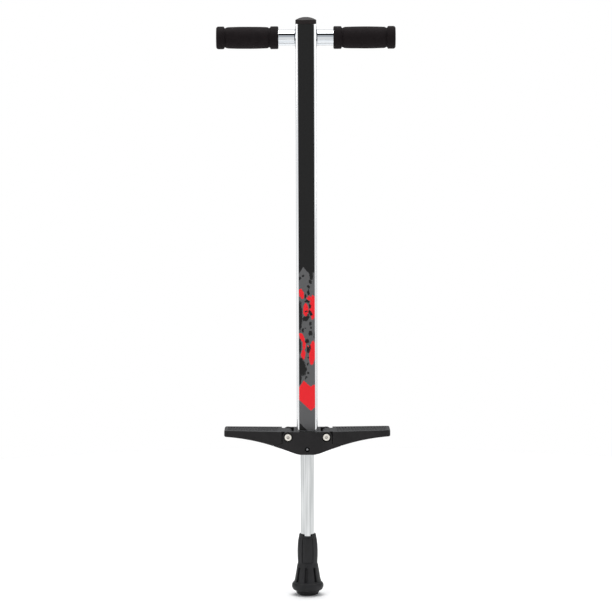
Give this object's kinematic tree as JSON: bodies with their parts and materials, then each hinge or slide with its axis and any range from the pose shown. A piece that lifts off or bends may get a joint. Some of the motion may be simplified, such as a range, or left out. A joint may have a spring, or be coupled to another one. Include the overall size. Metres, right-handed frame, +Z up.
{
  "type": "pogo stick",
  "caption": "Spring pogo stick: square tube with printed front strip, sprung round shaft, rubber tip, fold-up footrests and two pull-off foam handles.",
  "frame": {"origin": "centre of the flat sole of the rubber tip, on the floor", "axes": "+Z up along the stick, X along the handlebar and footrests, -Y the printed front"},
  "size_m": [0.3184, 0.066, 1.0404],
  "materials": {
    "polished_tube": "bright anodised",
    "handle_tube": "plated",
    "printed_strip": "printed vinyl, satin",
    "black_plastic": "fine moulded texture",
    "grip_foam": "closed-cell foam",
    "zinc_hardware": "zinc plated",
    "spring_steel": "oiled",
    "white_nylon": "moulded",
    "black_rubber": "matt moulded",
    "chromed_shaft": "polished"
  },
  "bodies": {
    "frame": {"main_tube": "polished_tube", "front_decal": "printed_strip", "top_cap": "black_plastic", "cross_tube": "polished_tube", "pedal_bracket": "black_plastic", "bracket_screws": "zinc_hardware", "left_pivot_bolt": "zinc_hardware", "right_pivot_bolt": "zinc_hardware", "left_pivot_nut": "zinc_hardware", "right_pivot_nut": "zinc_hardware", "pivot_washers": "white_nylon", "lower_guide_bush": "white_nylon", "rebound_bumper": "black_rubber", "main_spring": "spring_steel", "spring_stop": "white_nylon", "spring_stop_pin": "zinc_hardware"},
    "plunger": {"shaft": "chromed_shaft", "plunger_head": "white_nylon", "stop_washer": "zinc_hardware", "stop_pin": "zinc_hardware", "rubber_tip": "black_rubber", "tip_washer": "zinc_hardware"},
    "left_footrest": {"left_pedal": "black_plastic", "left_pedal_bushings": "white_nylon"},
    "right_footrest": {"right_pedal": "black_plastic", "right_pedal_bushings": "white_nylon"},
    "left_handle": {"left_handle_tube": "handle_tube", "left_grip": "grip_foam", "left_grip_plug": "black_plastic", "left_button_spring": "spring_steel"},
    "right_handle": {"right_handle_tube": "handle_tube", "right_grip": "grip_foam", "right_grip_plug": "black_plastic", "right_button_spring": "spring_steel"},
    "left_button": {"left_snap_button": "zinc_hardware"},
    "right_button": {"right_snap_button": "zinc_hardware"}
  },
  "joints": [
    {"name": "plunger_slide", "type": "slide", "parent": "frame", "child": "plunger", "axis": [0, 0, 1], "range_m": [0, 0.13], "stiffness_N_per_m": 7800, "springref_m": -0.02, "deforming": ["main_spring"]},
    {"name": "left_pedal_fold", "type": "hinge", "parent": "frame", "child": "left_footrest", "pos_m": [-0.0344, 0, 0.2919], "axis": [0, 1, 0], "range_deg": [0, 85]},
    {"name": "right_pedal_fold", "type": "hinge", "parent": "frame", "child": "right_footrest", "pos_m": [0.0344, 0, 0.2919], "axis": [0, -1, 0], "range_deg": [0, 85]},
    {"name": "left_handle_pull", "type": "slide", "parent": "frame", "child": "left_handle", "axis": [-1, 0, 0], "range_m": [0, 0.05], "deforming": ["left_snap_button"]},
    {"name": "right_handle_pull", "type": "slide", "parent": "frame", "child": "right_handle", "axis": [1, 0, 0], "range_m": [0, 0.05], "deforming": ["right_snap_button"]},
    {"name": "left_button_press", "type": "slide", "parent": "left_handle", "child": "left_button", "axis": [0, -1, 0], "range_m": [0, 0.0045], "stiffness_N_per_m": 1200, "springref_m": -0.003, "deforming": ["left_button_spring"]},
    {"name": "right_button_press", "type": "slide", "parent": "right_handle", "child": "right_button", "axis": [0, -1, 0], "range_m": [0, 0.0045], "stiffness_N_per_m": 1200, "springref_m": -0.003, "deforming": ["right_button_spring"]}
  ]
}
